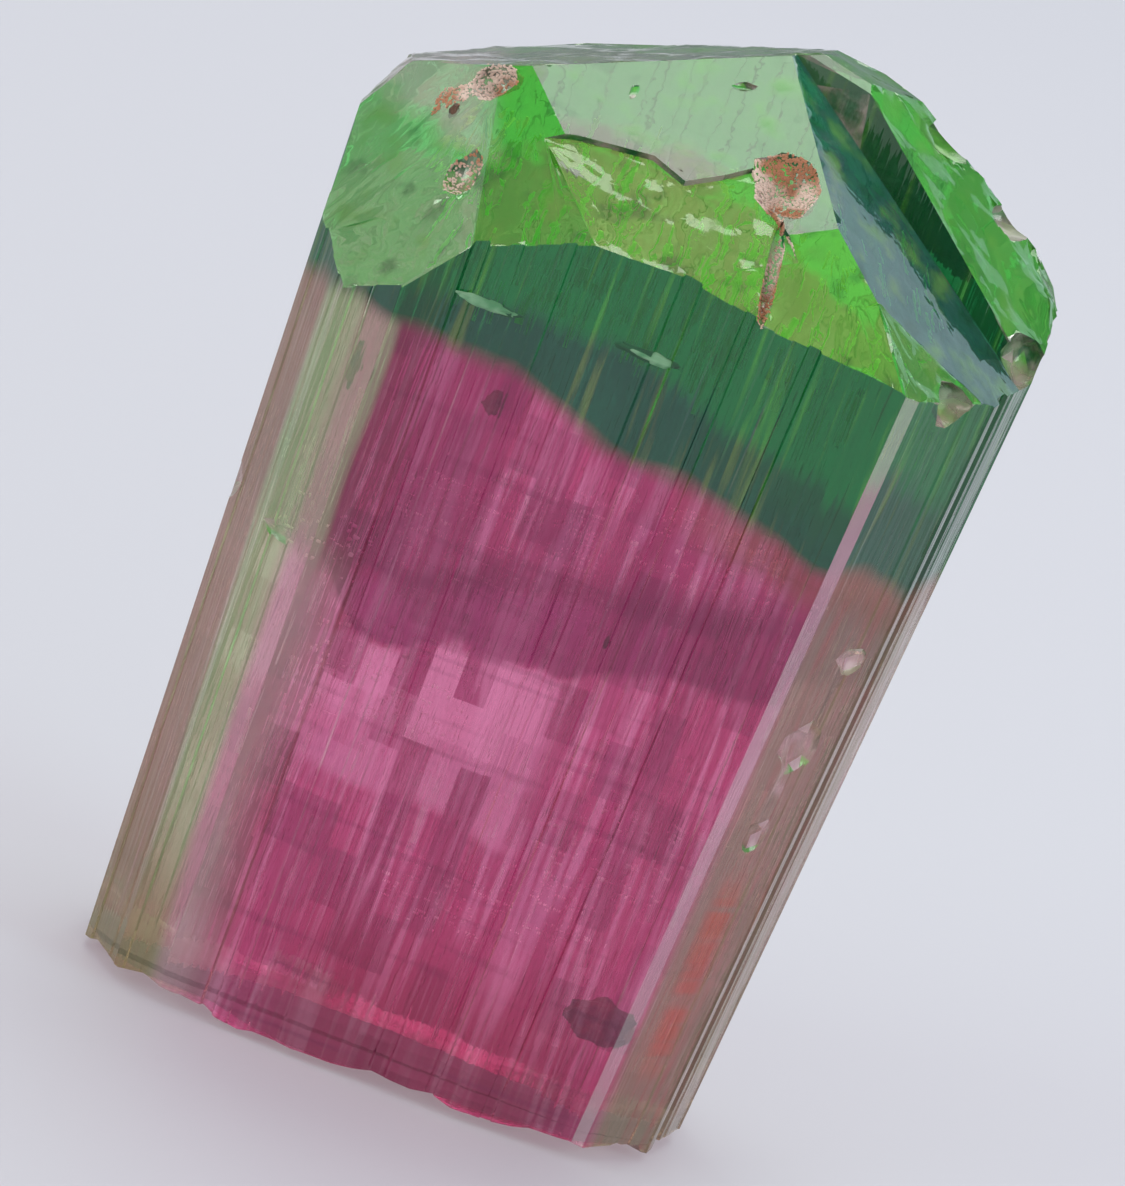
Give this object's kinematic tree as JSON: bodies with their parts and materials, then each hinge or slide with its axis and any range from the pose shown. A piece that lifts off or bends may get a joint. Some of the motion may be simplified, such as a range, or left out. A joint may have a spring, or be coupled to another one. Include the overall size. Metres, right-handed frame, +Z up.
{
  "type": "watermelon tourmaline crystal",
  "caption": "Upright single tourmaline crystal: pink prism with a green stepped pyramid top, fine lengthwise striations and a broken base it stands on.",
  "frame": {"origin": "on the base plane, under the middle of the crystal's bounding box", "axes": "+Z up along the crystal's long axis, -Y towards the broad front face, +X to the right of it"},
  "size_m": [0.0174, 0.0128, 0.0262],
  "materials": {
    "tourmaline": "clear natural crystal, pink below and green at the top, glossy faces with lengthwise striations"
  },
  "bodies": {
    "root": {"crystal": "tourmaline"}
  },
  "joints": []
}
